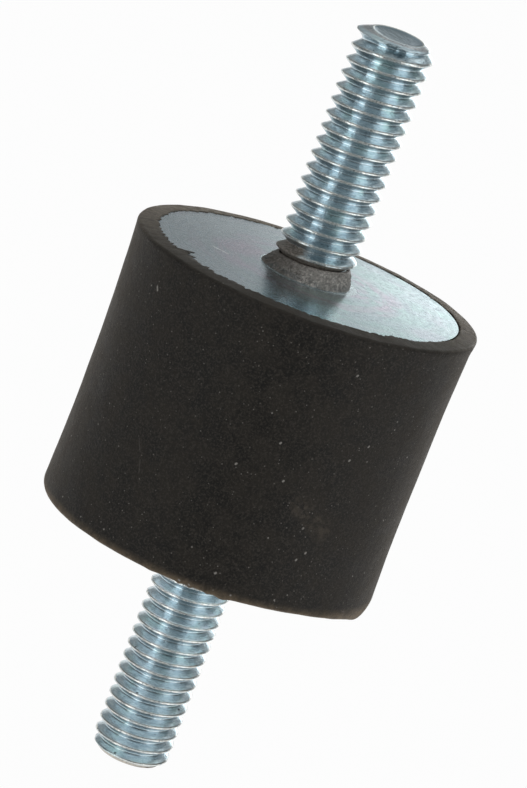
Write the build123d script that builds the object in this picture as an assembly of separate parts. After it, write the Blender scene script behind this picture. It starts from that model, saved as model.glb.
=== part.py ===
from build123d import *
from math import cos, pi, sin
import os

# Bobbin vibration mount, male-male: a rubber cylinder moulded round two steel plates, each with a
# headed M6 stud pressed through it. Millimetres. The axis is +Z and z = 0 is the lower seating face.

# Rubber body
BODY_HEIGHT = 20.5          # from one seating face to the other
BODY_END_DIAMETER = 25.2    # over the flared ends
BODY_WAIST_DIAMETER = 24.8  # at mid height, where the rubber has shrunk in
BODY_EDGE_CHAMFER = 0.4

# Plates, set flush in the ends with a rim of rubber round them
PLATE_DIAMETER = 22.4
PLATE_THICKNESS = 2.0
PLATE_EDGE_CHAMFER = 0.4    # broken edge of the blank, on the rubber side
PLATE_HOLE_DIAMETER = 6.8
PLATE_LEAD_IN = 0.15        # 45 degree lead-in of the hole, on the seating side

# Studs, M6 x 1
UPPER_STUD_LENGTH = 18.1    # from the seating face to the tip
LOWER_STUD_LENGTH = 17.5
THREAD_DIAMETER = 5.9       # over the crests of a rolled M6 thread
NECK_DIAMETER = 5.3         # rolling blank, left bare beside the plate
NECK_LENGTH = 1.1           # from the seating face to the first thread
RUN_OUT_LENGTH = 0.3
TIP_DIAMETER = 4.5
TIP_CHAMFER = 0.7
HEAD_DIAMETER = 11.0
HEAD_HEIGHT = 1.5
HEAD_EDGE_CHAMFER = 0.4

# Serrated shoulder that holds the stud in the plate
SERRATION_TEETH = 16
SERRATION_ROOT_DIAMETER = 6.3
SERRATION_CREST_DIAMETER = 7.3
SERRATION_SETBACK = 0.5     # from the seating face to the end of the teeth

# Collar of rubber that the mould forms round the foot of each stud
COLLAR_FOOT_DIAMETER = 7.0
COLLAR_TOP_DIAMETER = 6.0
COLLAR_WALL_HEIGHT = 0.8
COLLAR_HEIGHT = 1.1


def revolved(points):
    """Turn a closed (radius, height) outline about Z."""
    section = make_face(Polyline(*points, close=True))
    return revolve(Plane.XZ * section, Axis.Z)


def body_blank():
    """Outer form of the rubber, solid right through: a shallow waist between two flared ends."""
    end = BODY_END_DIAMETER / 2
    waist = ThreePointArc(
        (end, 0), (BODY_WAIST_DIAMETER / 2, BODY_HEIGHT / 2), (end, BODY_HEIGHT)
    )
    inner = Polyline((end, BODY_HEIGHT), (0, BODY_HEIGHT), (0, 0), (end, 0))
    section = make_face([waist, inner])
    rims = section.vertices().group_by(Axis.X)[-1]
    section = chamfer(rims, BODY_EDGE_CHAMFER)
    return revolve(Plane.XZ * section, Axis.Z)


# Each end is made with its seating face at z = 0 and its stud pointing up, then set in place.


def plate_blank():
    """Punched plate: sharp on the seating side, its edge broken where the rubber wraps behind it."""
    outer = PLATE_DIAMETER / 2
    hole = PLATE_HOLE_DIAMETER / 2
    outline = [
        (hole, -PLATE_THICKNESS),
        (outer - PLATE_EDGE_CHAMFER, -PLATE_THICKNESS),
        (outer, -PLATE_THICKNESS + PLATE_EDGE_CHAMFER),
        (outer, 0),
        (hole + PLATE_LEAD_IN, 0),
        (hole, -PLATE_LEAD_IN),
    ]
    return revolved(outline)


def serrated_shoulder():
    """Prism of pointed teeth that bites into the wall of the plate's hole."""
    points = []
    for step in range(2 * SERRATION_TEETH):
        diameter = SERRATION_CREST_DIAMETER if step % 2 == 0 else SERRATION_ROOT_DIAMETER
        angle = pi * step / SERRATION_TEETH
        points.append((diameter / 2 * cos(angle), diameter / 2 * sin(angle)))
    section = make_face(Polyline(*points, close=True))
    return Pos(0, 0, -PLATE_THICKNESS) * extrude(section, PLATE_THICKNESS - SERRATION_SETBACK)


def stud(length):
    """Headed stud: flat head behind the plate, serrated shoulder, bare neck, then the thread's
    crest cylinder with its run-out and chamfered tip."""
    head = HEAD_DIAMETER / 2
    neck = NECK_DIAMETER / 2
    crest = THREAD_DIAMETER / 2
    head_back = -PLATE_THICKNESS - HEAD_HEIGHT
    outline = [
        (0, head_back),
        (head - HEAD_EDGE_CHAMFER, head_back),
        (head, head_back + HEAD_EDGE_CHAMFER),
        (head, -PLATE_THICKNESS),
        (neck, -PLATE_THICKNESS),
        (neck, NECK_LENGTH),
        (crest, NECK_LENGTH + RUN_OUT_LENGTH),
        (crest, length - TIP_CHAMFER),
        (TIP_DIAMETER / 2, length),
        (0, length),
    ]
    return revolved(outline) + serrated_shoulder()


def collar_blank():
    """Rubber round the stud's foot, solid right through: a drafted wall under a conical top."""
    outline = [
        (0, 0),
        (COLLAR_FOOT_DIAMETER / 2, 0),
        (COLLAR_TOP_DIAMETER / 2, COLLAR_WALL_HEIGHT),
        (NECK_DIAMETER / 2, COLLAR_HEIGHT),
        (0, COLLAR_HEIGHT),
    ]
    return revolved(outline)


def mount_pieces():
    """All pieces in place. The metal is cut out of one block of rubber, which parts it in three:
    the body behind the plates, and a collar at each stud's foot, keyed into the serrations."""
    ends = {
        "upper": (Pos(0, 0, BODY_HEIGHT), UPPER_STUD_LENGTH),
        "lower": (Rot(180, 0, 0), LOWER_STUD_LENGTH),
    }
    pieces = {}
    rubber = body_blank()
    for side, (place, length) in ends.items():
        one_stud = stud(length)
        pieces[f"{side}_plate"] = place * (plate_blank() - one_stud)
        pieces[f"{side}_stud"] = place * one_stud
        rubber += place * collar_blank()
    for metal in list(pieces.values()):
        rubber -= metal
    lower_collar, rubber_body, upper_collar = rubber.solids().sort_by(Axis.Z)
    pieces["rubber_body"] = rubber_body
    pieces["upper_collar"] = upper_collar
    pieces["lower_collar"] = lower_collar
    return pieces


os.makedirs("parts", exist_ok=True)
for name, piece in mount_pieces().items():
    export_step(piece, f"parts/{name}.step")
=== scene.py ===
import math

import bmesh
import bpy
import numpy as np
from mathutils import Matrix, Vector, noise


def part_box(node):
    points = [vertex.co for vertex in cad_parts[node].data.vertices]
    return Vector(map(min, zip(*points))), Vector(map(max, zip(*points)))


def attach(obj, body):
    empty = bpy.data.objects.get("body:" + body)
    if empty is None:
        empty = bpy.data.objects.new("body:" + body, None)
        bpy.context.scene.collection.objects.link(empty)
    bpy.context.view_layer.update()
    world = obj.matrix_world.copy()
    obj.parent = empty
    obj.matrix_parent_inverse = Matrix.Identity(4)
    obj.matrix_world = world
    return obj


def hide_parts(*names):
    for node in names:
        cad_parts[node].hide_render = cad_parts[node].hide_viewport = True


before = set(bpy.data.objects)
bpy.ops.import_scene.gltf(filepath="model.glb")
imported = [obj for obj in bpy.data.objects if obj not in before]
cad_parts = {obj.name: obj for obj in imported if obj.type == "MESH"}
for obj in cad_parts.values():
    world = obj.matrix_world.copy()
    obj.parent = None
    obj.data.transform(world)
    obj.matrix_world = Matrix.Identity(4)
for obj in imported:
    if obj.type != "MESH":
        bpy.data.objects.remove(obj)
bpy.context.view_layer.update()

# A bobbin vibration mount on a pale floor: its rubber body, plates, threaded studs and the rubber
# collars at their feet. Lengths are in metres. MM turns a size in millimetres into metres.
# Azimuths turn about the mount's axis from +X towards +Y, so -90 degrees is the near side.

MM = 0.001
ROUND = 2 * math.pi


def lowest(node):
    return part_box(node)[0]


def highest(node):
    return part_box(node)[1]


# Places and sizes that come from the frame
BODY_BOTTOM = lowest("rubber_body").z
BODY_TOP = highest("rubber_body").z
BODY_RADIUS = highest("rubber_body").x
PLATE_RADIUS = highest("upper_plate").x
PLATE_THICKNESS = highest("upper_plate").z - lowest("upper_plate").z
HEAD_RADIUS = highest("upper_stud").x
HEAD_HEIGHT = lowest("upper_plate").z - lowest("upper_stud").z
UPPER_TIP_HEIGHT = highest("upper_stud").z
LOWER_TIP_HEIGHT = lowest("lower_stud").z
UPPER_STUD_LENGTH = UPPER_TIP_HEIGHT - BODY_TOP
LOWER_STUD_LENGTH = BODY_BOTTOM - LOWER_TIP_HEIGHT

# Sizes of the solids that their boxes in the frame don't show
PLATE_HOLE_RADIUS = 3.4 * MM
PLATE_BEVEL = 0.4 * MM      # on the edge that faces the rubber
HEAD_BEVEL = 0.4 * MM
SHOULDER_RADIUS = 3.3 * MM  # of the stud in the plate's hole, without its serrations
SHOULDER_SETBACK = 0.5 * MM     # from the seating face to the shoulder


# Numbers, noise and meshes


def smooth(low, high, value):
    """Smooth step from 0 at low to 1 at high, on numbers or arrays."""
    t = np.clip((value - low) / (high - low), 0.0, 1.0)
    return t * t * (3 - 2 * t)


def soft_min(a, b, softness):
    """The lesser of a and b, with the corner between them rounded."""
    share = np.clip(0.5 + 0.5 * (b - a) / softness, 0.0, 1.0)
    return b * (1 - share) + a * share - softness * share * (1 - share)


def wander(x, y, z, octaves=4):
    """Fractal noise, about -1 to 1, at one point."""
    return noise.fractal(Vector((x, y, z)), 0.6, 2.0, octaves)


def ring_noise(azimuths, scale, seed, octaves=4):
    """Noise round a circle that closes on itself: one value for each azimuth."""
    values = [wander(scale * math.cos(a), scale * math.sin(a), seed, octaves) for a in azimuths]
    return np.array(values)


def full_circle(columns):
    return np.linspace(0.0, ROUND, columns + 1)


def lobe(azimuths, centre, width):
    """Rounded bump round the axis: 1 at the centre azimuth, near 0 beyond twice width from it."""
    away = (azimuths - centre + math.pi) % ROUND - math.pi
    return np.exp(-((away / width) ** 2))


def lobes(azimuths, radius, table):
    """Bumps round a circle of this radius, added up. Each has its azimuth in degrees, and its
    size and width in millimetres."""
    total = np.zeros_like(azimuths)
    for azimuth, size, width in table:
        total = total + size * MM * lobe(azimuths, math.radians(azimuth), width * MM / radius)
    return total


def seating_face(side):
    """Height of the body's upper end, for side 1, or of its lower end, for side -1."""
    return BODY_TOP if side > 0 else BODY_BOTTOM


def turned_grid(radii, heights, azimuths):
    """Points at (radius, height) for each row and azimuth. Each may vary round the axis."""
    shape = np.broadcast_shapes(radii.shape, heights.shape, (1, len(azimuths)))
    radii = np.broadcast_to(radii, shape)
    heights = np.broadcast_to(heights, shape)
    return np.stack([radii * np.cos(azimuths), radii * np.sin(azimuths), heights], axis=2)


def mesh_from_grid(name, points):
    """Skin a grid of points (rows, columns, 3), whose first and last columns meet, into a closed
    mesh. Rows that shrink to a point become caps."""
    rows, columns = points.shape[:2]
    index = np.arange(rows * columns).reshape(rows, columns)
    corners = (index[:-1, :-1], index[:-1, 1:], index[1:, 1:], index[1:, :-1])
    faces = np.stack([corner.ravel() for corner in corners], axis=1)
    mesh = bpy.data.meshes.new(name)
    mesh.from_pydata(points.reshape(-1, 3).tolist(), [], faces.tolist())
    work = bmesh.new()
    work.from_mesh(mesh)
    bmesh.ops.remove_doubles(work, verts=work.verts, dist=1e-7)
    bmesh.ops.dissolve_degenerate(work, edges=work.edges, dist=1e-8)
    bmesh.ops.recalc_face_normals(work, faces=work.faces)
    work.to_mesh(mesh)
    work.free()
    mesh.polygons.foreach_set("use_smooth", [True] * len(mesh.polygons))
    piece = bpy.data.objects.new(name, mesh)
    bpy.context.scene.collection.objects.link(piece)
    return piece


# Rubber body

RUBBER_COLUMNS = 720
RUBBER_SIDE_ROWS = 64
EDGE_ROWS = 6
RIM_ROWS = 12

WAIST_DEPTH = 0.27 * MM     # how far the side draws in at mid height
LEAN_DEPTH = 0.23 * MM      # the side draws in by this at its foot, on the +X side
LEAN_HEIGHT = 12 * MM       # and by less up to this height
LEAN_AZIMUTH = math.radians(10)
LEAN_WIDTH = math.radians(30)
LIP_DEPTH = 0.1 * MM        # how far the upper edge stands out, on the +X side
LIP_HEIGHT = 1.2 * MM       # of the stretch of side below it that flares out
LIP_AZIMUTH = -0.1          # in radians, as is the width
LIP_WIDTH = 0.7
SIDE_UNEVENNESS = 0.018 * MM
UNEVENNESS_SCALE = 250      # of its noise, up the side, in 1/m
UPPER_EDGE_RADIUS = 0.28 * MM
LOWER_EDGE_RADIUS = 0.3 * MM

RIM_RISE = 0.05 * MM        # the rim stands this far above the plate
RIM_FALL = 0.10 * MM        # and falls by this towards its outer edge
RIM_UNEVENNESS = 0.03 * MM
RIM_CREEP = 0.13 * MM       # the rim overlaps the plate by about this,
RIM_WAVES = 0.05 * MM       # by this more or less in long waves,
RIM_RAGGEDNESS = 0.3 * MM   # and by this more or less where it was torn most
RIM_OPENING = 0.27 * MM     # the overlap shrinks by up to this, which leaves the joint open,
RIM_OPENING_AZIMUTH = math.radians(35)      # round this azimuth
RIM_GAP_DEPTH = 0.3 * MM    # of the open joint
RIM_SHOULDER = 0.2 * MM     # width over which the flash on the plate thickens into the rim
FLASH_THICKNESS = 0.05 * MM
FLASH_SINK = 0.02 * MM      # the flash's thin edge is sunk this far into the plate

# Flaps of flash left on the plates, in degrees and millimetres: azimuth, reach, width
UPPER_TONGUES = [
    (-142, 0.8, 0.25),
    (-139.5, 0.45, 0.14),
    (-136.5, 0.35, 0.16),
    (-127, 0.3, 0.15),
    (-124.5, 0.2, 0.12),
    (-116, 0.15, 0.2),
    (-52, 0.2, 0.5),
    (-47, 0.15, 0.25),
    (38, 0.15, 0.3),
]
LOWER_TONGUES = [
    (65, 0.4, 0.3),
    (-20, 0.3, 0.4),
]
# Flash that hangs from the lower edge, in degrees and millimetres: azimuth, depth, width.
# A depth below 0 is a hollow in the edge.
LOWER_DRIPS = [
    (-28, 0.32, 3.4),
    (-16.5, 0.55, 2.0),
    (-155, 0.13, 4.5),
    (-60, -0.09, 2.6),
    (-94, 0.10, 0.2),
    (-90.5, 0.12, 0.15),
    (-84.5, 0.10, 0.25),
    (-79.5, 0.16, 0.45),
    (-104, 0.06, 0.4),
]


def end_rows(azimuths, side, seed, outer, ragged_azimuth, tongues):
    """Rows from the axis inside one end of the body out to the start of its rounded edge: the
    pocket that holds the stud's head and the plate, the open joint round the plate, then the rim,
    torn most round ragged_azimuth. side is 1 for the upper end and -1 for the lower. outer is the
    radius at which the rounded edge starts. Also gives the unevenness of the rim's height."""
    ragged = 0.25 + 0.75 * (0.5 + 0.5 * np.cos(azimuths - ragged_azimuth)) ** 2
    broad = ring_noise(azimuths, 3.0, seed, 2)
    fine = ring_noise(azimuths, 30.0, seed + 5.0, 5)
    opening = RIM_OPENING * (0.5 + 0.5 * np.cos(azimuths - RIM_OPENING_AZIMUTH)) ** 2
    creep = RIM_RAGGEDNESS * fine * ragged + RIM_WAVES * broad + RIM_CREEP - opening
    creep = creep + lobes(azimuths, PLATE_RADIUS, tongues) * (1 + 0.6 * fine)
    closed = smooth(0.0, FLASH_THICKNESS, creep)
    inner = PLATE_RADIUS - creep
    level = ring_noise(azimuths, 6.0, seed + 9.0, 2) * RIM_UNEVENNESS

    # Radii, and heights measured out from that end
    plate_back = -PLATE_THICKNESS
    head_back = plate_back - HEAD_HEIGHT
    zero = np.zeros_like(azimuths)
    rows = [
        (zero, zero + head_back),
        (zero + HEAD_RADIUS, zero + head_back),
        (zero + HEAD_RADIUS, zero + plate_back),
        (zero + PLATE_RADIUS - PLATE_BEVEL, zero + plate_back),
        (zero + PLATE_RADIUS, zero + plate_back + PLATE_BEVEL),
        (zero + PLATE_RADIUS, zero - RIM_GAP_DEPTH),
        (inner, -FLASH_SINK - (1 - closed) * (RIM_GAP_DEPTH - FLASH_SINK)),
    ]
    for step in np.linspace(0.0, 1.0, RIM_ROWS):
        radius = inner + (outer - inner) * step ** 1.5
        over_plate = 1 - smooth(-0.1 * RIM_SHOULDER, RIM_SHOULDER, radius - PLATE_RADIUS)
        crown = (1 - over_plate) * (RIM_RISE + level) + over_plate * closed * FLASH_THICKNESS
        crown = crown - RIM_FALL * step**2
        thick = smooth(0.0, 0.12, step)
        rows.append((radius, crown * thick + (1 - thick) * closed * 0.3 * FLASH_THICKNESS))
    face = seating_face(side)
    return [(radius, face + side * height) for radius, height in rows], level


def edge_rows(radii, height, side, edge_radius, level):
    """Rows of a rounded edge, from the rim out to the side, which starts at radii and height."""
    rise = edge_radius + RIM_RISE - RIM_FALL + level
    rows = []
    for turn in np.linspace(0, math.pi / 2, EDGE_ROWS + 2)[1:-1]:
        radius = radii - edge_radius * (1 - math.sin(turn))
        rows.append((radius, height + side * rise * math.cos(turn)))
    return rows


def leaning(azimuths):
    """Share of the lean at each azimuth."""
    return lobe(azimuths, LEAN_AZIMUTH, LEAN_WIDTH)


def side_radii(azimuths, heights):
    """Radius of the side, in rows: a shallow waist, with the faint unevenness of moulded rubber,
    drawn in at the foot and flared at the upper edge on the +X side."""
    middle = (BODY_TOP + BODY_BOTTOM) / 2
    reach = (heights - middle) / (BODY_TOP - middle)
    uneven = np.array([
        [wander(3 * math.cos(a), 3 * math.sin(a), up, 3) for a in azimuths[:-1]]
        for up in heights * UNEVENNESS_SCALE
    ])
    uneven = np.concatenate([uneven, uneven[:, :1]], axis=1)
    lean = LEAN_DEPTH * (1 - smooth(BODY_BOTTOM, BODY_BOTTOM + LEAN_HEIGHT, heights))
    lip = LIP_DEPTH * smooth(BODY_TOP - LIP_HEIGHT, BODY_TOP - UPPER_EDGE_RADIUS, heights)
    even = (BODY_RADIUS - WAIST_DEPTH * (1 - reach**2))[:, None]
    leant = even + SIDE_UNEVENNESS * uneven - lean[:, None] * leaning(azimuths)
    return leant + lip[:, None] * lobe(azimuths, LIP_AZIMUTH, LIP_WIDTH)


def rubber_body():
    """The moulded body, hollow where the plates and the studs' heads sit."""
    azimuths = full_circle(RUBBER_COLUMNS)
    upper, upper_level = end_rows(
        azimuths,
        side=1,
        seed=3.7,
        outer=BODY_RADIUS - UPPER_EDGE_RADIUS,
        ragged_azimuth=math.radians(-140),
        tongues=UPPER_TONGUES,
    )
    lower, lower_level = end_rows(
        azimuths,
        side=-1,
        seed=8.1,
        outer=BODY_RADIUS - LOWER_EDGE_RADIUS - LEAN_DEPTH * leaning(azimuths),
        ragged_azimuth=math.radians(70),
        tongues=LOWER_TONGUES,
    )
    lower_level = lower_level + lobes(azimuths, BODY_RADIUS, LOWER_DRIPS)
    top = BODY_TOP - UPPER_EDGE_RADIUS
    bottom = BODY_BOTTOM + LOWER_EDGE_RADIUS
    heights = np.linspace(top, bottom, RUBBER_SIDE_ROWS)
    side = side_radii(azimuths, heights)
    rows = upper + edge_rows(side[0], top, 1, UPPER_EDGE_RADIUS, upper_level)
    rows += [(radius, np.full_like(azimuths, height)) for radius, height in zip(side, heights)]
    rows += reversed(edge_rows(side[-1], bottom, -1, LOWER_EDGE_RADIUS, lower_level))
    rows += reversed(lower)
    radii, heights = (np.array(part) for part in zip(*rows))
    return mesh_from_grid("moulded_body", turned_grid(radii, heights, azimuths))


# Studs

STUD_COLUMNS = 144
NECK_RADIUS = 2.62 * MM     # of the blank, beside the plate

# M6 x 1 thread
PITCH = 1.0 * MM
CREST_RADIUS = 2.9 * MM
ROOT_RADIUS = 2.3 * MM
LEAST_RADIUS = 0.95 * ROOT_RADIUS   # that wear and dents leave
CREST_FLAT = 0.10           # share of a pitch
ROOT_FLAT = 0.08            # share of a pitch, before the root is rounded
CREST_ROUNDING = 0.06       # share of the thread's depth
ROOT_ROUNDING = 0.2
CREST_WEAR = 0.015 * MM     # the crest's radius varies by this along the turns,
CREST_BEADS = 0.01 * MM     # and by this in fine beads
SEAM_WIDTH = 0.02           # share of a pitch
UPPER_THREAD_START = BODY_TOP + 2.84 * MM   # height of one crest at azimuth 0
LOWER_THREAD_START = BODY_BOTTOM - 15.87 * MM
THREAD_FOOT = 0.6 * MM      # from the seating face to where the run-out begins
RUN_OUT = 0.35 * MM

UPPER_TIP_RADIUS = 1.9 * MM
UPPER_TIP_SPREAD = 2.2      # the tip widens by this times the distance back from its face
UPPER_TIP_STRETCH = 0.33 * MM   # rolling has pushed the last turn this far up
STRETCH_START = 2.0 * MM    # distance from the tip's face where the push begins
STRETCH_END = 0.3 * MM      # and where it is full
UPPER_TIP_SLOPE = 0.075     # the sheared face falls this steeply towards -Y
SLOPE_START = 0.9 * MM      # distance from the tip's face where the slope begins to show
LOWER_TIP_RADIUS = 2.35 * MM
LOWER_TIP_SPREAD = 1.2
TIP_ROUNDING = 0.06 * MM    # of the turns where the tip cuts them off
TIP_LIP = 0.1 * MM          # width of the flat round the dish in the tip's face
TIP_DISH_DEPTH = 0.08 * MM

# Dents in the tip, in degrees and millimetres: azimuth, distance from the seating face, width,
# depth
UPPER_KNOCKS = [
    (-92, 17.5, 0.22, 0.12),
    (-78, 17.3, 0.3, 0.14),
]


def thread_phases():
    """Where the rows of one pitch lie, as shares of it from the crest: closest at the crest and
    the root."""
    crest = CREST_FLAT / 2
    root_start = 0.4 - ROOT_FLAT / 2
    root_end = 0.6 + ROOT_FLAT / 2
    stretches = [
        (-crest, crest, 4),
        (crest, root_start, 4),
        (root_start, root_end, 8),
        (root_end, 1 - crest, 4),
    ]
    return np.concatenate([np.linspace(a, b, n, endpoint=False) for a, b, n in stretches])


def thread_form(phase):
    """Height of the thread's section, from 0 at the root to 1 at the crest, a pitch apart."""
    away = np.abs((phase + 0.5) % 1.0 - 0.5)
    flank = (0.5 - ROOT_FLAT / 2 - away) / (0.5 - ROOT_FLAT / 2 - CREST_FLAT / 2)
    return -soft_min(-soft_min(flank, 1.0, CREST_ROUNDING), 0.0, ROOT_ROUNDING)


def helix_noise(turns, azimuths, scale, seed):
    """Noise along the thread's crest: a row for each turn, one value for each azimuth."""
    along = turns[:, None] + azimuths / ROUND
    values = [wander(scale * place, seed, 0.0) for place in along.ravel()]
    return np.array(values).reshape(along.shape)


def thread_radii(turns, phases, azimuths, seed, seam):
    """Radius of the thread for each row of phases, which holds the rows of all turns in order.
    seam is the depth of the groove that rolling leaves along the crest."""
    rows = len(phases) // len(turns)
    wear = np.repeat(helix_noise(turns, azimuths, 5.0, seed), rows, axis=0)
    beads = np.repeat(helix_noise(turns, azimuths, 90.0, seed + 3.0), rows, axis=0)
    groove = np.exp(-((phases - np.round(phases)) / SEAM_WIDTH) ** 2)
    crest = CREST_RADIUS + CREST_WEAR * wear + CREST_BEADS * beads
    crest = crest - seam * (0.6 + 0.6 * beads) * groove
    return ROOT_RADIUS + (crest - ROOT_RADIUS) * thread_form(phases)


def stud(name, side, length, crest_start, seed, seam, tip, knocks=(), stretch=0.0, slope=0.0):
    """A stud with its true helical thread. The grid follows the helix, so that the crests are
    clean lines, and is cut off square at the foot and the tip. tip is the radius of its face and
    how far it widens back from there. stretch is how far rolling has pushed the last turn towards
    the tip. slope is how steeply the tip's face falls towards -Y."""
    azimuths = full_circle(STUD_COLUMNS)
    face = seating_face(side)
    ends = sorted((face + side * THREAD_FOOT, face + side * length))
    first = math.floor((ends[0] - crest_start) / PITCH) - 2
    last = math.ceil((ends[1] - crest_start) / PITCH) + 1
    turns = np.arange(first, last)
    phases = (turns[:, None] + thread_phases()).ravel()[:, None]
    heights = crest_start + PITCH * (phases + azimuths / ROUND)
    out = side * (heights - face)
    heights = heights + side * stretch * smooth(length - STRETCH_START, length - STRETCH_END, out)
    heights = np.clip(heights, *ends)
    out = side * (heights - face)

    radii = thread_radii(turns, phases, azimuths, seed, seam)
    for azimuth, distance, width, depth in knocks:
        along = (out - distance * MM) / (width * MM)
        around = lobe(azimuths, math.radians(azimuth), width * MM / CREST_RADIUS)
        radii = radii - depth * MM * np.exp(-(along**2)) * around
    run_out = smooth(THREAD_FOOT, THREAD_FOOT + RUN_OUT, out)
    radii = NECK_RADIUS + (radii - NECK_RADIUS) * run_out
    radii = np.maximum(radii, LEAST_RADIUS)
    tip_radius, spread = tip
    cone = tip_radius + (length - out) * spread
    radii = soft_min(radii, cone, TIP_ROUNDING)
    radii = np.where(out > length - 1e-9, tip_radius, radii)
    helix = turned_grid(radii, heights, azimuths)
    if side < 0:
        helix = helix[::-1]

    def rings(profile):
        """Rows of (radius, distance from the seating face)."""
        radius, distance = (np.array(part)[:, None] for part in zip(*profile))
        return turned_grid(radius, face + side * distance, azimuths)

    head_back = -PLATE_THICKNESS - HEAD_HEIGHT
    foot = rings([
        (0.0, head_back),
        (HEAD_RADIUS - HEAD_BEVEL, head_back),
        (HEAD_RADIUS, head_back + HEAD_BEVEL),
        (HEAD_RADIUS, -PLATE_THICKNESS),
        (SHOULDER_RADIUS, -PLATE_THICKNESS),
        (SHOULDER_RADIUS, -SHOULDER_SETBACK),
        (NECK_RADIUS, -SHOULDER_SETBACK),
        (NECK_RADIUS, THREAD_FOOT),
    ])
    dish = tip_radius - TIP_LIP
    end = rings([
        (tip_radius, length),
        (dish + 0.5 * TIP_LIP, length),
        (dish, length - 0.01 * MM),
        (dish - 0.08 * MM, length - 0.6 * TIP_DISH_DEPTH),
        (dish * 0.8, length - 0.9 * TIP_DISH_DEPTH),
        (dish * 0.4, length - TIP_DISH_DEPTH),
        (0.0, length - TIP_DISH_DEPTH),
    ])
    grid = np.concatenate([foot, helix, end])
    near_tip = smooth(length - SLOPE_START, length, side * (grid[:, :, 2] - face))
    grid[:, :, 2] -= side * slope * np.maximum(tip_radius - grid[:, :, 1], 0.0) * near_tip
    return mesh_from_grid(name, grid)


# Collars

COLLAR_COLUMNS = 360
COLLAR_ROWS = 26
COLLAR_BORE_RADIUS = NECK_RADIUS - 0.15 * MM    # inside the stud, out of sight
COLLAR_DEPTH = 0.45 * MM    # that it reaches down into the plate's hole
COLLAR_SKIRT_RADIUS = 3.6 * MM   # thin skirt that covers the edge of the plate's hole
COLLAR_SKIRT_HEIGHT = 0.012 * MM
COLLAR_FOOT_RADIUS = 3.24 * MM
COLLAR_TOP_RADIUS = 2.72 * MM
COLLAR_TOP = 1.12 * MM
COLLAR_CLIMB = 0.18 * MM    # the top follows the thread up, from the -X side to the +X side
COLLAR_BELLY = 0.06 * MM    # its side bulges by this at mid height
COLLAR_LUMPS = 0.1 * MM
COLLAR_FOOT_VARIATION = 0.08 * MM   # of the foot's radius round the stud
COLLAR_TOP_VARIATION = 0.06 * MM    # of the top's radius
COLLAR_RIM_VARIATION = 0.05 * MM    # of the top's height
COLLAR_CROWN = 0.1 * MM     # its side draws in by this at the top
UPPER_COLLAR_SHIFT = 0.24 * MM   # the upper foot sits off centre, towards -X


def collar(name, side, shift, seed):
    """Ring of moulding flash at a stud's foot: a lumpy cone that flares out over the plate and
    ends against the first turn of the thread."""
    azimuths = full_circle(COLLAR_COLUMNS)
    foot_radius = COLLAR_FOOT_RADIUS - shift * np.cos(azimuths)
    foot_radius = foot_radius + ring_noise(azimuths, 1.1, seed, 5) * COLLAR_FOOT_VARIATION
    top_radius = ring_noise(azimuths, 1.4, seed + 2.0, 5) * COLLAR_TOP_VARIATION
    top_radius = COLLAR_TOP_RADIUS + top_radius
    top = COLLAR_TOP + side * COLLAR_CLIMB * np.cos(azimuths)
    top = top + ring_noise(azimuths, 2.2, seed + 4.0, 4) * COLLAR_RIM_VARIATION
    skirt = np.maximum(foot_radius, COLLAR_SKIRT_RADIUS)
    zero = np.zeros_like(azimuths)
    rows = [
        (zero + COLLAR_BORE_RADIUS, zero - COLLAR_DEPTH),
        (zero + PLATE_HOLE_RADIUS, zero - COLLAR_DEPTH),
        (zero + PLATE_HOLE_RADIUS, zero - 0.2 * MM),
        (skirt, zero + 0.001 * MM),
        (skirt - 0.01 * MM, zero + 0.002 * MM),
        (foot_radius + 0.03 * MM, zero + 0.006 * MM),
    ]
    for share in np.linspace(0.0, 1.0, COLLAR_ROWS):
        lumps = np.array([
            wander(6 * math.cos(a), 6 * math.sin(a), share * 2.5 + seed, 5) for a in azimuths[:-1]
        ])
        lumps = np.append(lumps, lumps[0])
        lumps = lumps * COLLAR_LUMPS * math.sin(math.pi * (0.15 + 0.8 * share))
        flare = (foot_radius - top_radius) * (1 - share) ** 1.5
        belly = COLLAR_BELLY * math.sin(math.pi * share) ** 2
        crown = COLLAR_CROWN * smooth(0.8, 1.0, share) ** 2
        radius = top_radius + flare + belly + lumps - crown
        rows.append((radius, COLLAR_SKIRT_HEIGHT + (top - COLLAR_SKIRT_HEIGHT) * share))
    edge_radius, edge_height = rows[-1]
    for share in (0.35, 0.7, 1.0):
        radius = edge_radius + (NECK_RADIUS - 0.06 * MM - edge_radius) * share
        rows.append((radius, edge_height + 0.03 * MM * math.sin(math.pi / 2 * share)))
    rows.append((zero + COLLAR_BORE_RADIUS, rows[-1][1]))
    rows.append(rows[0])
    radii, heights = (np.array(part) for part in zip(*rows))
    grid = turned_grid(radii, seating_face(side) + side * heights, azimuths)
    return mesh_from_grid(name, grid)


# Finishes


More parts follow.
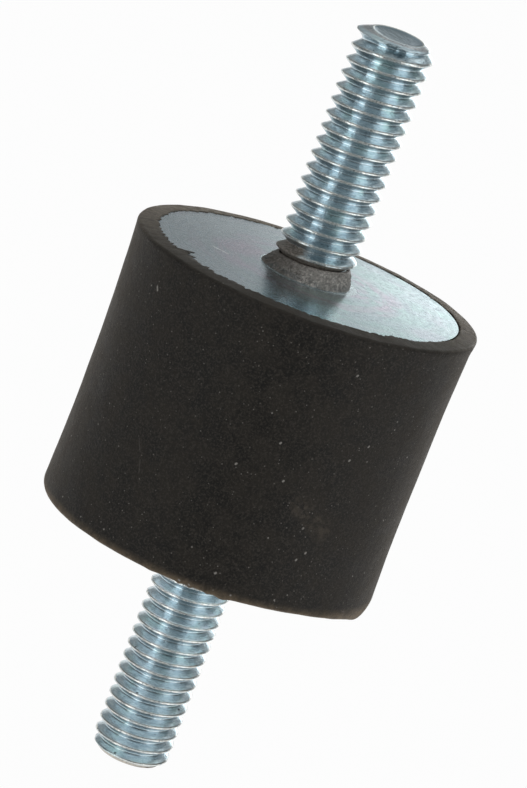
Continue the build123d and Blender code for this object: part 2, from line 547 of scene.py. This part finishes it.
class Nodes:
    """Short calls that add nodes to one node tree. Noises and masks are laid out by place."""

    def __init__(self, tree, coordinates):
        self.tree = tree
        self.place = tree.nodes.new("ShaderNodeTexCoord").outputs[coordinates]

    def set(self, socket, value):
        if isinstance(value, bpy.types.NodeSocket):
            self.tree.links.new(value, socket)
        else:
            socket.default_value = value

    def node(self, kind, inputs, **settings):
        made = self.tree.nodes.new(kind)
        for key, value in settings.items():
            setattr(made, key, value)
        for key, value in inputs.items():
            self.set(made.inputs[key], value)
        return made

    def maths(self, operation, *values):
        inputs = dict(enumerate(values))
        return self.node("ShaderNodeMath", inputs, operation=operation).outputs[0]

    def vector_maths(self, operation, *values):
        inputs = dict(enumerate(values))
        return self.node("ShaderNodeVectorMath", inputs, operation=operation).outputs

    def step(self, value, low, high, out_low=0.0, out_high=1.0):
        """Smooth step of value, from out_low at low to out_high at high."""
        inputs = {
            "Value": value,
            "From Min": low,
            "From Max": high,
            "To Min": out_low,
            "To Max": out_high,
        }
        made = self.node("ShaderNodeMapRange", inputs, interpolation_type="SMOOTHSTEP")
        return made.outputs["Result"]

    def blend(self, share, first, second):
        """Colour from first to second as share goes from 0 to 1."""
        inputs = {"Fac": share, "Color1": first, "Color2": second}
        return self.node("ShaderNodeMixRGB", inputs).outputs["Color"]

    def axes(self, vector=None):
        made = self.node("ShaderNodeSeparateXYZ", {"Vector": vector or self.place})
        return made.outputs["X"], made.outputs["Y"], made.outputs["Z"]

    def vector(self, x, y, z):
        return self.node("ShaderNodeCombineXYZ", {"X": x, "Y": y, "Z": z}).outputs["Vector"]


class Finish(Nodes):
    """A procedural material, laid out in the object's own coordinates."""

    def __init__(self, name):
        self.material = bpy.data.materials.new(name)
        self.material.use_nodes = True
        super().__init__(self.material.node_tree, "Object")
        self.shader = self.tree.nodes["Principled BSDF"]

    def surface(self, **inputs):
        for key, value in inputs.items():
            self.set(self.shader.inputs[key.replace("_", " ")], value)

    def noise(self, size, detail=3.0, roughness=0.6, vector=None):
        """Noise whose features are about size across."""
        inputs = {
            "Vector": vector or self.place,
            "Scale": 1 / size,
            "Detail": detail,
            "Roughness": roughness,
        }
        return self.node("ShaderNodeTexNoise", inputs).outputs["Fac"]

    def scaled_place(self, x, y, z):
        """The place times these factors. A noise there is squeezed where a factor is above 1."""
        return self.vector_maths("MULTIPLY", self.place, (x, y, z))["Vector"]

    def polar(self):
        """Distance from the mount's axis, and the turn about it in radians: 0 on the -X side,
        rising towards the -Y side."""
        x, y, _ = self.axes()
        squares = self.maths("ADD", self.maths("POWER", x, 2.0), self.maths("POWER", y, 2.0))
        back_x, back_y = (self.maths("MULTIPLY", side, -1.0) for side in (x, y))
        return self.maths("SQRT", squares), self.maths("ARCTAN2", back_y, back_x)

    def line(self, start, end, width):
        """Mask of a straight mark from start to end."""
        along = end - start
        offset = self.vector_maths("SUBTRACT", self.place, start)["Vector"]
        share = self.vector_maths("DOT_PRODUCT", offset, along / along.length_squared)["Value"]
        share = self.maths("MINIMUM", self.maths("MAXIMUM", share, 0.0), 1.0)
        foot = self.node("ShaderNodeVectorMath", {0: along, "Scale": share}, operation="SCALE")
        rest = self.vector_maths("SUBTRACT", offset, foot.outputs["Vector"])["Vector"]
        reach = self.vector_maths("LENGTH", rest)["Value"]
        return self.step(reach, width, 0.3 * width)

    def specks(self, spacing, size, share):
        """Mask of round specks: one in each cell about spacing across, in that share of the
        cells."""
        cells = self.node("ShaderNodeTexVoronoi", {"Vector": self.place, "Scale": 1 / spacing})
        kept = self.node("ShaderNodeSeparateColor", {"Color": cells.outputs["Color"]})
        near = self.step(cells.outputs["Distance"], size / spacing, 0.4 * size / spacing)
        chosen = self.maths("LESS_THAN", kept.outputs["Red"], share)
        return self.maths("MULTIPLY", near, chosen)

    def bump(self, height, distance, strength=1.0, under=None):
        inputs = {"Height": height, "Distance": distance, "Strength": strength}
        if under is not None:
            inputs["Normal"] = under
        return self.node("ShaderNodeBump", inputs).outputs["Normal"]


def grey(level, warmth=0.0):
    """A neutral colour, a little brown where warmth is above 0."""
    return (level * (1 + warmth), level, level * (1 - warmth), 1.0)


def on_side(azimuth, height):
    """Place on the rubber's side, from an azimuth in degrees and a height in millimetres."""
    turn = math.radians(azimuth)
    reach = 2 * height * MM / (BODY_TOP + BODY_BOTTOM) - 1
    radius = BODY_RADIUS - WAIST_DEPTH * (1 - reach**2)
    return Vector((radius * math.cos(turn), radius * math.sin(turn), height * MM))


def on_plate(azimuth, radius):
    """Place on the upper plate, from an azimuth in degrees and a radius in millimetres."""
    turn = math.radians(azimuth)
    return Vector((radius * MM * math.cos(turn), radius * MM * math.sin(turn), BODY_TOP))


def on_screw(azimuth, distance):
    """Place on the upper thread, from an azimuth in degrees and a distance from the seating face
    in millimetres."""
    turn = math.radians(azimuth)
    radius = 0.5 * (CREST_RADIUS + ROOT_RADIUS)
    height = BODY_TOP + distance * MM
    return Vector((radius * math.cos(turn), radius * math.sin(turn), height))


# Bright crumbs on the rubber's side: azimuth in degrees, height in millimetres
CRUMBS = [
    (-84.4, 1.6),
    (-58.4, 4.6),
    (-60.8, 4.0),
    (-62.4, 6.3),
    (-74.4, 9.2),
    (-90.4, 9.3),
    (-55.2, 11.7),
    (-79.6, 11.7),
    (-50.0, 12.9),
    (-64.0, 17.7),
]
CRUMB_LENGTH = Vector((0.04 * MM, 0.0, 0.06 * MM))
CRUMB_WIDTH = 0.1 * MM


def rubber_finish():
    """Matt black moulded rubber with a brown cast and a painted brown glow of floor light along
    its foot, dust lying on the upper rim with a painted highlight that lightens it most towards
    the back, fine specks and crumbs, a few rubbed marks and a smudge."""
    f = Finish("moulded_rubber")
    mottle = f.noise(2.5 * MM, 6.0, 0.8)
    grain = f.noise(0.16 * MM, 3.0, 0.8)
    colour = f.blend(f.step(mottle, 0.38, 0.62), grey(0.002), grey(0.016, 0.2))
    colour = f.blend(f.step(grain, 0.45, 0.66, 0.0, 0.85), colour, grey(0.04, 0.16))

    # Dust on faces that look up, under a painted highlight that grows towards the back, and a
    # painted brown glow of floor light along the foot
    _, _, up = f.axes(f.node("ShaderNodeNewGeometry", {}).outputs["Normal"])
    patchy = f.step(f.noise(0.6 * MM, 5.0, 0.75), 0.3, 0.7, 0.3, 1.0)
    dust_and_highlight = f.maths("MULTIPLY", f.step(up, 0.1, 0.8), patchy)
    _, back, height = f.axes()
    # Painted highlight: the colour on up-facing faces is far lighter towards the back
    dust_and_highlight_colour = f.blend(f.step(back, -9 * MM, 8 * MM), grey(0.036, 0.2), grey(0.3, 0.2))
    colour = f.blend(dust_and_highlight, colour, dust_and_highlight_colour)
    # Painted light: a brown glow of light from the floor along the lower edge
    foot = f.step(height, BODY_BOTTOM + 0.8 * MM, BODY_BOTTOM, 0.0, 0.8)
    colour = f.blend(f.maths("MULTIPLY", foot, patchy), colour, grey(0.18, 0.35))

    # Specks, bright marks and crumbs
    coarse = f.specks(0.9 * MM, 0.09 * MM, 0.35)
    fine = f.specks(0.35 * MM, 0.06 * MM, 0.5)
    dust = f.maths("MAXIMUM", coarse, f.maths("MULTIPLY", fine, 0.6))
    marks = [
        f.line(on_side(-138.4, 17.95), on_side(-137.7, 17.7), 0.11 * MM),
        f.line(on_side(-94.3, 0.3), on_side(-93.9, 0.26), 0.08 * MM),
        f.line(on_side(-90.9, 0.24), on_side(-90.6, 0.2), 0.08 * MM),
        f.line(on_side(-83.9, 0.1), on_side(-83.6, 0.06), 0.08 * MM),
    ]
    for azimuth, spot_height in CRUMBS:
        spot = on_side(azimuth, spot_height)
        marks.append(f.line(spot, spot + CRUMB_LENGTH, CRUMB_WIDTH))
    shown = f.maths("MULTIPLY", dust, f.step(f.noise(0.8 * MM), 0.25, 0.65))
    for mark in marks:
        shown = f.maths("MAXIMUM", shown, f.maths("MULTIPLY", mark, f.step(grain, 0.25, 0.5)))
    colour = f.blend(shown, colour, grey(0.3, 0.08))

    # Scuffs and the smudge
    scuffs = [
        f.line(on_side(-123.8, 8.0), on_side(-121.6, 7.2), 0.06 * MM),
        f.line(on_side(-120.5, 6.7), on_side(-119.3, 5.9), 0.06 * MM),
    ]
    for scuff in scuffs:
        colour = f.blend(f.maths("MULTIPLY", scuff, 0.12), colour, grey(0.3, 0.08))
    smudge = f.line(on_side(-66, 7.8), on_side(-55, 6.4), 1.1 * MM)
    smudge = f.maths("MULTIPLY", smudge, f.step(f.noise(0.5 * MM, 5.0, 0.7), 0.4, 0.65, 0.0, 0.4))
    colour = f.blend(smudge, colour, grey(0.09, 0.25))

    roughness = f.step(mottle, 0.3, 0.7, 0.56, 0.7)
    relief = f.maths("ADD", f.noise(0.7 * MM, 4.0), f.maths("MULTIPLY", grain, 0.6))
    f.surface(
        Base_Color=colour,
        Roughness=f.maths("SUBTRACT", roughness, f.maths("MULTIPLY", dust_and_highlight, 0.06)),
        Normal=f.bump(relief, 0.055 * MM, 0.9),
        Specular_IOR_Level=0.3,
        Specular_Tint=(1.0, 0.96, 0.91, 1.0),
        Sheen_Weight=0.16,
        Sheen_Roughness=0.35,
        Sheen_Tint=(1.0, 0.78, 0.56, 1.0),
    )
    return f.material


ZINC = (0.62, 0.73, 0.76, 1.0)
ZINC_GREEN = (0.58, 0.76, 0.74, 1.0)
# Painted reflection on the plate: greyer zinc on its -X side, paler at the back of that side
ZINC_REFLECTION_GREY = (0.61, 0.65, 0.68, 1.0)
ZINC_REFLECTION_PALE = (0.72, 0.77, 0.80, 1.0)
ZINC_PINK = (0.78, 0.62, 0.74, 1.0)
ZINC_SHADE = (0.40, 0.50, 0.57, 1.0)
ZINC_DARK = (0.10, 0.15, 0.18, 1.0)
ZINC_FACE = (0.25, 0.33, 0.37, 1.0)
ZINC_WORN = (0.84, 0.85, 0.81, 1.0)
THREAD_ZINC = (0.72, 0.83, 0.88, 1.0)
THREAD_GREEN = (0.68, 0.84, 0.84, 1.0)
THREAD_SHADE = (0.52, 0.64, 0.70, 1.0)
LIP_PALE = (0.66, 0.6, 0.57, 1.0)
LIP_DARK = (0.22, 0.2, 0.2, 1.0)
SHEARED_PALE = (0.6, 0.55, 0.46, 1.0)
SHEARED_DARK = (0.12, 0.12, 0.11, 1.0)


def flash_finish():
    """Rough brown-grey rubber flash with bright grains and dark pits, with painted light that
    makes it much lighter towards +X. The film at its foot is so thin that the zinc shows through."""
    f = Finish("rubber_flash")
    across, _, height = f.axes()
    middle = (BODY_TOP + BODY_BOTTOM) / 2
    above = f.maths("ABSOLUTE", f.maths("SUBTRACT", height, middle))
    seat = (BODY_TOP - BODY_BOTTOM) / 2
    # Painted light: the flash is made lighter towards +X, the side the light falls on
    painted_side_light = f.step(across, -3.2 * MM, 1.0 * MM)
    grain = f.noise(0.24 * MM, 5.0, 0.85)
    low = f.blend(painted_side_light, grey(0.03, 0.2), grey(0.18, 0.12))
    high = f.blend(painted_side_light, grey(0.28, 0.14), grey(0.95, 0.06))
    colour = f.blend(f.step(grain, 0.4, 0.63), low, high)
    smoother = f.step(f.noise(0.9 * MM, 2.0), 0.42, 0.56)
    smoother = f.maths("MAXIMUM", smoother, f.step(above, seat + 0.5 * MM, seat + 0.8 * MM))
    colour = f.blend(f.maths("MULTIPLY", smoother, 0.5), colour, f.blend(0.35, low, high))
    thin = f.step(above, seat + 0.6 * MM, seat + 0.15 * MM)
    thin = f.maths("MULTIPLY", thin, f.step(f.noise(0.5 * MM, 4.0, 0.7), 0.42, 0.6, 0.0, 0.35))
    colour = f.blend(thin, colour, ZINC_DARK)
    crumbs = f.step(f.noise(0.15 * MM, 2.0, 0.7), 0.54, 0.64)
    bright = f.maths("MULTIPLY", crumbs, f.step(f.noise(0.7 * MM, 2.0), 0.6, 0.42))
    colour = f.blend(f.maths("MULTIPLY", bright, 0.9), colour, high)
    film = f.step(above, seat + COLLAR_SKIRT_HEIGHT, seat + 0.75 * COLLAR_SKIRT_HEIGHT)
    f.surface(
        Base_Color=f.blend(film, colour, ZINC),
        Metallic=film,
        Roughness=f.step(film, 0.0, 1.0, 0.5, 0.24),
        Normal=f.bump(grain, 0.15 * MM, 1.0),
    )
    return f.material


PLATE_CROWN = 1.2   # the plate's height falls by this times the radius squared, in 1/m
FOOT_ARC_RADIUS = 5.8 * MM      # of a pink arc round the collar


def plate_finish():
    """Bright zinc over a turned, slightly crowned face: fine rings, cloudy and iridescent tints,
    pits, a bright scratch, and a painted reflection that greys the -X side and lightens its back."""
    f = Finish("zinc_plate")
    radius, turn = f.polar()
    across, back, _ = f.axes()
    ring_radius = f.maths("MULTIPLY", radius, 9.0 / MM)
    ring_place = f.vector(ring_radius, f.maths("MULTIPLY", turn, 1.5), 0.0)
    ring_lines = f.noise(1.0, 4.0, 0.7, ring_place)
    colour = f.blend(f.step(f.noise(3 * MM, 3.0), 0.42, 0.6), ZINC, ZINC_GREEN)
    # Painted reflection: the zinc is greyer towards -X, and paler towards the back on that side
    neutral = f.blend(f.step(back, -1 * MM, 6 * MM), ZINC_REFLECTION_GREY, ZINC_REFLECTION_PALE)
    colour = f.blend(f.step(across, 4 * MM, -6 * MM, 0.0, 0.85), colour, neutral)

    # Iridescent arcs and a blush on the -X side
    arc_radius = f.maths("MULTIPLY", radius, 0.55 / MM)
    arc_place = f.vector(arc_radius, f.maths("MULTIPLY", turn, 0.9), 3.0)
    arcs = f.step(f.noise(1.0, 2.0, 0.6, arc_place), 0.5, 0.7, 0.0, 0.8)
    arcs = f.maths("MULTIPLY", arcs, f.step(radius, 8.0 * MM, 5.5 * MM, 0.3, 1.0))
    from_arc = f.maths("ABSOLUTE", f.maths("SUBTRACT", radius, FOOT_ARC_RADIUS))
    foot_arc = f.step(from_arc, 0.7 * MM, 0.1 * MM)
    foot_arc = f.maths("MULTIPLY", foot_arc, f.step(ring_lines, 0.35, 0.6))
    pink = f.maths("MAXIMUM", arcs, f.maths("MULTIPLY", foot_arc, 0.7))
    blush = f.line(on_plate(180, 5.4), on_plate(165, 4.8), 2.4 * MM)
    pink = f.maths("MAXIMUM", pink, f.maths("MULTIPLY", blush, 0.6))
    colour = f.blend(pink, colour, ZINC_PINK)

    # Rings, clouds, pits and the scratch
    colour = f.blend(f.step(ring_lines, 0.4, 0.75, 0.0, 0.6), colour, ZINC_SHADE)
    cloud = f.noise(0.35 * MM, 6.0, 0.8)
    colour = f.blend(f.step(cloud, 0.48, 0.7, 0.0, 0.6), colour, ZINC_SHADE)
    fine_pits = f.specks(0.5 * MM, 0.05 * MM, 0.4)
    pits = f.maths("MAXIMUM", fine_pits, f.specks(1.3 * MM, 0.1 * MM, 0.15))
    colour = f.blend(f.maths("MULTIPLY", pits, 0.8), colour, grey(0.08))
    scratch = f.line(on_plate(-162.5, 7.2), on_plate(-154.5, 6.3), 0.14 * MM)
    colour = f.blend(scratch, colour, grey(1.0))

    crown = f.maths("MULTIPLY", f.maths("POWER", radius, 2.0), -PLATE_CROWN)
    relief = f.maths("ADD", ring_lines, cloud)
    f.surface(
        Base_Color=colour,
        Metallic=f.maths("SUBTRACT", 1.0, scratch),
        Roughness=f.step(cloud, 0.3, 0.7, 0.16, 0.32),
        Normal=f.bump(relief, 0.006 * MM, 0.6, f.bump(crown, 1.0)),
    )
    return f.material


FIRST_VALLEY = BODY_TOP + 1.76 * MM     # height of the upper thread's first valley, on the -X side


def thread_finish():
    """Bright zinc on a rolled thread: bluish, streaked along the turns, pitted, rubbed bright on
    the crests, with painted shade under them and over the upper tip's dents, dull on the sheared
    ends, and painted light and a painted highlight on the upper tip's face. Rubber flash coats the
    first turn of the upper stud, on its -X side, and painted shade in the rubber's colour lies on
    the flanks that face down near its foot."""
    f = Finish("zinc_thread")
    radius, turn = f.polar()
    across, _, height = f.axes()
    _, _, up = f.axes(f.node("ShaderNodeNewGeometry", {}).outputs["True Normal"])
    fine = f.noise(0.12 * MM, 3.0, 0.8)
    dents = f.noise(0.55 * MM, 2.0, 0.6)
    streaks = f.noise(0.9 * MM, 5.0, 0.7, f.scaled_place(1.0, 1.0, 9.0))
    colour = f.blend(f.step(streaks, 0.42, 0.68), THREAD_ZINC, THREAD_SHADE)
    colour = f.blend(f.step(f.noise(2.0 * MM, 2.0), 0.5, 0.7, 0.0, 0.8), colour, THREAD_GREEN)
    colour = f.blend(f.step(fine, 0.55, 0.75, 0.0, 0.5), colour, THREAD_SHADE)
    blotch = f.step(f.noise(0.5 * MM, 5.0, 0.75), 0.54, 0.68, 0.0, 0.65)
    colour = f.blend(blotch, colour, ZINC_SHADE)

    # Painted shade under the crests, rubbed crests, then pits and painted shade over the upper
    # tip's dents
    # Painted shade: flanks that face down are darkened, more on the lower stud
    painted_shade_under_crests = f.step(up, -0.2, -0.65)
    shade = f.step(height, BODY_BOTTOM, BODY_BOTTOM + 1.0 * MM, 0.36, 0.25)
    colour = f.blend(f.maths("MULTIPLY", painted_shade_under_crests, shade), colour, ZINC_DARK)
    crest = f.step(radius, CREST_RADIUS - 0.13 * MM, CREST_RADIUS - 0.06 * MM)
    rubbed = f.blend(f.step(fine, 0.5, 0.66), ZINC_WORN, ZINC_DARK)
    worn_share = f.step(f.noise(0.4 * MM, 3.0), 0.35, 0.6, 0.45, 1.0)
    colour = f.blend(f.maths("MULTIPLY", crest, worn_share), colour, rubbed)
    fine_pits = f.specks(0.45 * MM, 0.06 * MM, 0.35)
    pits = f.maths("MAXIMUM", fine_pits, f.specks(1.1 * MM, 0.13 * MM, 0.2))
    colour = f.blend(f.maths("MULTIPLY", pits, 0.9), colour, grey(0.03))
    # Painted shade: a dark patch over the dents in the upper tip
    dent_painted_shade = f.line(on_screw(-97, 17.6), on_screw(-70, 17.2), 0.4 * MM)
    dent_painted_shade = f.maths("MULTIPLY", dent_painted_shade, f.step(f.noise(0.2 * MM, 4.0, 0.7), 0.4, 0.58))
    colour = f.blend(f.maths("MULTIPLY", dent_painted_shade, 0.8), colour, ZINC_DARK)

    # The sheared faces at the tips; the upper one made lighter towards +X as painted light, with a
    # painted highlight along its edge and a worn lip
    low_end = f.step(height, LOWER_TIP_HEIGHT + 0.4 * MM, LOWER_TIP_HEIGHT + 0.28 * MM)
    colour = f.blend(low_end, colour, f.blend(f.step(fine, 0.4, 0.65), SHEARED_PALE, SHEARED_DARK))
    face = f.step(height, UPPER_TIP_HEIGHT - 0.45 * MM, UPPER_TIP_HEIGHT - 0.4 * MM)
    inside = f.step(radius, UPPER_TIP_RADIUS, UPPER_TIP_RADIUS - 0.15 * MM)
    # Painted light: the upper tip's face is lighter towards +X
    face_painted_light = f.blend(f.step(across, 0.1 * MM, 1.5 * MM), ZINC_FACE, ZINC_SHADE)
    colour = f.blend(f.maths("MULTIPLY", face, inside), colour, face_painted_light)
    high_end = f.step(height, UPPER_TIP_HEIGHT - 0.45 * MM, UPPER_TIP_HEIGHT - 0.35 * MM)
    # Painted highlight: a bright ring along the edge of the upper tip's face
    from_edge = f.maths("SUBTRACT", radius, UPPER_TIP_RADIUS - 0.06 * MM)
    edge_painted_highlight = f.step(f.maths("ABSOLUTE", from_edge), 0.1 * MM, 0.04 * MM)
    colour = f.blend(f.maths("MULTIPLY", edge_painted_highlight, high_end), colour, ZINC_WORN)
    outside = f.step(radius, UPPER_TIP_RADIUS, UPPER_TIP_RADIUS + 0.1 * MM)
    lip = f.maths("MULTIPLY", f.maths("MULTIPLY", high_end, outside), 0.65)
    colour = f.blend(lip, colour, f.blend(f.step(fine, 0.45, 0.6), LIP_PALE, LIP_DARK))

    # Rubber on the upper stud's first turn and under it, and painted shade in the rubber's colour
    # on the flanks that face down near the foot
    ragged = f.maths("MULTIPLY", f.noise(0.3 * MM, 4.0), 0.25 * MM)
    valley = f.maths("ADD", f.maths("MULTIPLY", turn, PITCH / ROUND), FIRST_VALLEY)
    above = f.maths("SUBTRACT", f.maths("SUBTRACT", height, valley), ragged)
    first_turn = f.step(above, 0.04 * MM, -0.02 * MM)
    coated_side = f.step(f.maths("ADD", turn, f.noise(0.5 * MM, 3.0)), 2.1, 1.5)
    lowest_band = f.step(height, BODY_TOP + 1.3 * MM, BODY_TOP + 1.2 * MM)
    # Painted shade: near the foot, the flanks that face down take the rubber's colour
    foot = f.step(height, BODY_TOP + 2.0 * MM, BODY_TOP + 1.6 * MM)
    under = f.maths("MAXIMUM", lowest_band, f.maths("MULTIPLY", foot, painted_shade_under_crests))
    coat = f.maths("MAXIMUM", f.maths("MULTIPLY", first_turn, coated_side), under)
    coat = f.maths("MULTIPLY", coat, f.maths("GREATER_THAN", height, 0.5 * BODY_TOP))
    rubber_tone = f.blend(f.step(fine, 0.35, 0.7), grey(0.08, 0.16), grey(0.4, 0.14))

    coat_bump = f.bump(f.maths("MULTIPLY", fine, coat), 0.06 * MM)
    relief = f.maths("ADD", streaks, f.maths("MULTIPLY", fine, 0.25))
    f.surface(
        Base_Color=f.blend(coat, colour, rubber_tone),
        Metallic=f.maths("SUBTRACT", 1.0, coat),
        Roughness=f.step(coat, 0.0, 1.0, 0.25, 0.55),
        Normal=f.bump(dents, 0.07 * MM, 0.5, f.bump(relief, 0.022 * MM, 0.7, coat_bump)),
    )
    return f.material


# Studio

AIM = Vector((0.0, 0.0, 11.28 * MM))
VIEW_DISTANCE = 249.3 * MM
VIEW_ELEVATION = 14.9       # in degrees, as is the roll
VIEW_ROLL = 20.68
LENS = 161.4

FLOOR_WIDTH = 0.4
FLOOR_DEPTH = 1.6           # it runs away from the camera,
FLOOR_FRONT = -0.018        # from just in front of the mount

ROOM_TINT = (0.93, 0.985, 1.0, 1.0)
ROOM_STRENGTH = 0.05


def paint(piece, finish):
    """Give a piece this finish and no other."""
    piece.data.materials.clear()
    piece.data.materials.append(finish)


def floor_finish():
    """White floor. The camera, and what the metal mirrors, see it almost as bright as paper, with
    the object's faint shadow. From below it is clear, so that the underside can be looked at."""
    f = Finish("white_floor")
    out = f.tree.nodes["Material Output"]
    fine = f.noise(20 * MM, 2.0)
    diffuse = f.node("ShaderNodeBsdfDiffuse", {"Color": f.blend(fine, grey(0.88), grey(0.9))})
    glow = f.node("ShaderNodeEmission", {"Color": grey(1.0), "Strength": 1.0})
    rays = f.node("ShaderNodeLightPath", {}).outputs
    seen = f.maths("MAXIMUM", rays["Is Camera Ray"], rays["Is Glossy Ray"])
    seen = f.maths("MAXIMUM", seen, rays["Is Transmission Ray"])
    shares = {0: f.maths("MULTIPLY", seen, 0.97), 1: diffuse.outputs[0], 2: glow.outputs[0]}
    mixed = f.node("ShaderNodeMixShader", shares)
    from_below = f.node("ShaderNodeNewGeometry", {}).outputs["Backfacing"]
    clear = f.node("ShaderNodeBsdfTransparent", {})
    sides = {0: from_below, 1: mixed.outputs[0], 2: clear.outputs[0]}
    f.set(out.inputs["Surface"], f.node("ShaderNodeMixShader", sides).outputs[0])
    f.tree.nodes.remove(f.shader)
    return f.material


def floor():
    """Pale floor, level with the lower stud's tip."""
    right = FLOOR_WIDTH / 2
    far = FLOOR_FRONT + FLOOR_DEPTH
    corners = [
        (-right, FLOOR_FRONT, LOWER_TIP_HEIGHT),
        (right, FLOOR_FRONT, LOWER_TIP_HEIGHT),
        (right, far, LOWER_TIP_HEIGHT),
        (-right, far, LOWER_TIP_HEIGHT),
    ]
    mesh = bpy.data.meshes.new("floor")
    mesh.from_pydata(corners, [], [(0, 1, 2, 3)])
    plane = bpy.data.objects.new("floor", mesh)
    paint(plane, floor_finish())
    bpy.context.scene.collection.objects.link(plane)


def direction(bearing, elevation):
    """Unit vector, from angles in degrees. The bearing turns from +Y, the far side, towards +X."""
    a, e = math.radians(bearing), math.radians(elevation)
    return Vector((math.sin(a) * math.cos(e), math.cos(a) * math.cos(e), math.sin(e)))


def softbox(name, bearing, elevation, distance, width, height, power):
    """Rectangular lamp that faces the object."""
    lamp = bpy.data.lights.new(name, "AREA")
    lamp.shape = "RECTANGLE"
    lamp.size = width
    lamp.size_y = height
    lamp.energy = power
    towards = direction(bearing, elevation)
    holder = bpy.data.objects.new(name, lamp)
    holder.location = AIM + towards * distance
    holder.rotation_euler = towards.to_track_quat("Z", "Y").to_euler()
    bpy.context.scene.collection.objects.link(holder)


class Sky(Nodes):
    """Brightness of the room by direction, built from smooth steps."""

    def __init__(self, tree):
        super().__init__(tree, "Generated")
        self.x, self.y, self.z = self.axes()

    def spot(self, bearing, elevation, outer, inner):
        """Round patch, from nothing at outer to full at inner: angles in degrees."""
        cosine = 0.0
        for side, share in zip((self.x, self.y, self.z), direction(bearing, elevation)):
            cosine = self.maths("ADD", self.maths("MULTIPLY", side, share), cosine)
        return self.step(cosine, math.cos(math.radians(outer)), math.cos(math.radians(inner)))

    def part(self, brightness, *steps):
        """A part of the room with this brightness where all the steps are 1."""
        share = brightness
        for step in steps:
            share = self.maths("MULTIPLY", share, step)
        return share


def studio_world():
    """A dim room with two lamps in its ceiling, and pale walls behind the object, white towards
    the low right. The camera sees plain white, and metal does too, low down behind the object."""
    world = bpy.data.worlds.new("studio")
    bpy.context.scene.world = world
    world.use_nodes = True
    background = world.node_tree.nodes["Background"]
    sky = Sky(world.node_tree)
    behind = sky.step(sky.y, 0.2, 0.9)
    low = sky.step(sky.z, 0.36, 0.12)
    ceiling = sky.part(0.30, sky.step(sky.z, 0.2, 0.9))
    walls = sky.part(0.20, behind)
    low_right = sky.part(2.2, sky.step(sky.x, -0.04, 0.085), low, sky.step(sky.y, 0.75, 0.9))
    ground = sky.part(0.30, sky.step(sky.z, 0.1, -0.15))
    right_lamp = sky.part(0.9, sky.spot(40, 55, 17, 8))
    left_lamp = sky.part(0.8, sky.spot(-38, 64, 12, 5))
    strength = ROOM_STRENGTH
    for part in (ceiling, walls, low_right, ground, right_lamp, left_lamp):
        strength = sky.maths("ADD", strength, part)
    rays = sky.node("ShaderNodeLightPath", {}).outputs
    mirrored = sky.maths("MAXIMUM", rays["Is Glossy Ray"], rays["Is Transmission Ray"])
    backdrop = sky.part(mirrored, sky.step(sky.z, 0.14, 0.06), behind)
    seen = sky.maths("MAXIMUM", rays["Is Camera Ray"], backdrop)
    sky.set(background.inputs["Strength"], sky.maths("MAXIMUM", strength, seen))
    sky.set(background.inputs["Color"], sky.blend(seen, ROOM_TINT, grey(1.0)))


def camera():
    """Looks a little down on the mount and is rolled, so that the mount leans in the picture."""
    lens = bpy.data.cameras.new("camera")
    lens.lens = LENS
    lens.clip_start = 0.01
    lens.clip_end = 20.0
    holder = bpy.data.objects.new("camera", lens)
    away = direction(180, VIEW_ELEVATION)
    upright = away.to_track_quat("Z", "Y").to_matrix().to_4x4()
    rolled = upright @ Matrix.Rotation(math.radians(VIEW_ROLL), 4, "Z")
    holder.matrix_world = Matrix.Translation(AIM + away * VIEW_DISTANCE) @ rolled
    bpy.context.scene.collection.objects.link(holder)
    bpy.context.scene.camera = holder


# Assembly


def dress(piece, finish, node):
    """Give a piece its finish and put it in place of the frame's node."""
    paint(piece, finish)
    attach(piece, "root")
    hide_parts(node)


rubber = rubber_finish()
flash = flash_finish()
plate_zinc = plate_finish()
thread_zinc = thread_finish()

upper_screw = stud(
    "upper_screw",
    side=1,
    length=UPPER_STUD_LENGTH,
    crest_start=UPPER_THREAD_START,
    seed=2.0,
    seam=0.02 * MM,
    tip=(UPPER_TIP_RADIUS, UPPER_TIP_SPREAD),
    knocks=UPPER_KNOCKS,
    stretch=UPPER_TIP_STRETCH,
    slope=UPPER_TIP_SLOPE,
)
lower_screw = stud(
    "lower_screw",
    side=-1,
    length=LOWER_STUD_LENGTH,
    crest_start=LOWER_THREAD_START,
    seed=7.0,
    seam=0.05 * MM,
    tip=(LOWER_TIP_RADIUS, LOWER_TIP_SPREAD),
)
body = rubber_body()
upper_ring = collar("upper_flash_ring", side=1, shift=UPPER_COLLAR_SHIFT, seed=1.3)
lower_ring = collar("lower_flash_ring", side=-1, shift=0.0, seed=6.1)

dress(body, rubber, "rubber_body")
dress(upper_screw, thread_zinc, "upper_stud")
dress(lower_screw, thread_zinc, "lower_stud")
dress(upper_ring, flash, "upper_collar")
dress(lower_ring, flash, "lower_collar")
for node in ("upper_plate", "lower_plate"):
    paint(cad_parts[node], plate_zinc)

floor()
studio_world()
softbox("front_left", -140, 0, distance=0.6, width=0.24, height=0.7, power=1.0)
softbox("front_right", 121, -4, distance=0.7, width=0.5, height=0.8, power=1.6)
camera()

bpy.context.scene.view_settings.view_transform = "Standard"
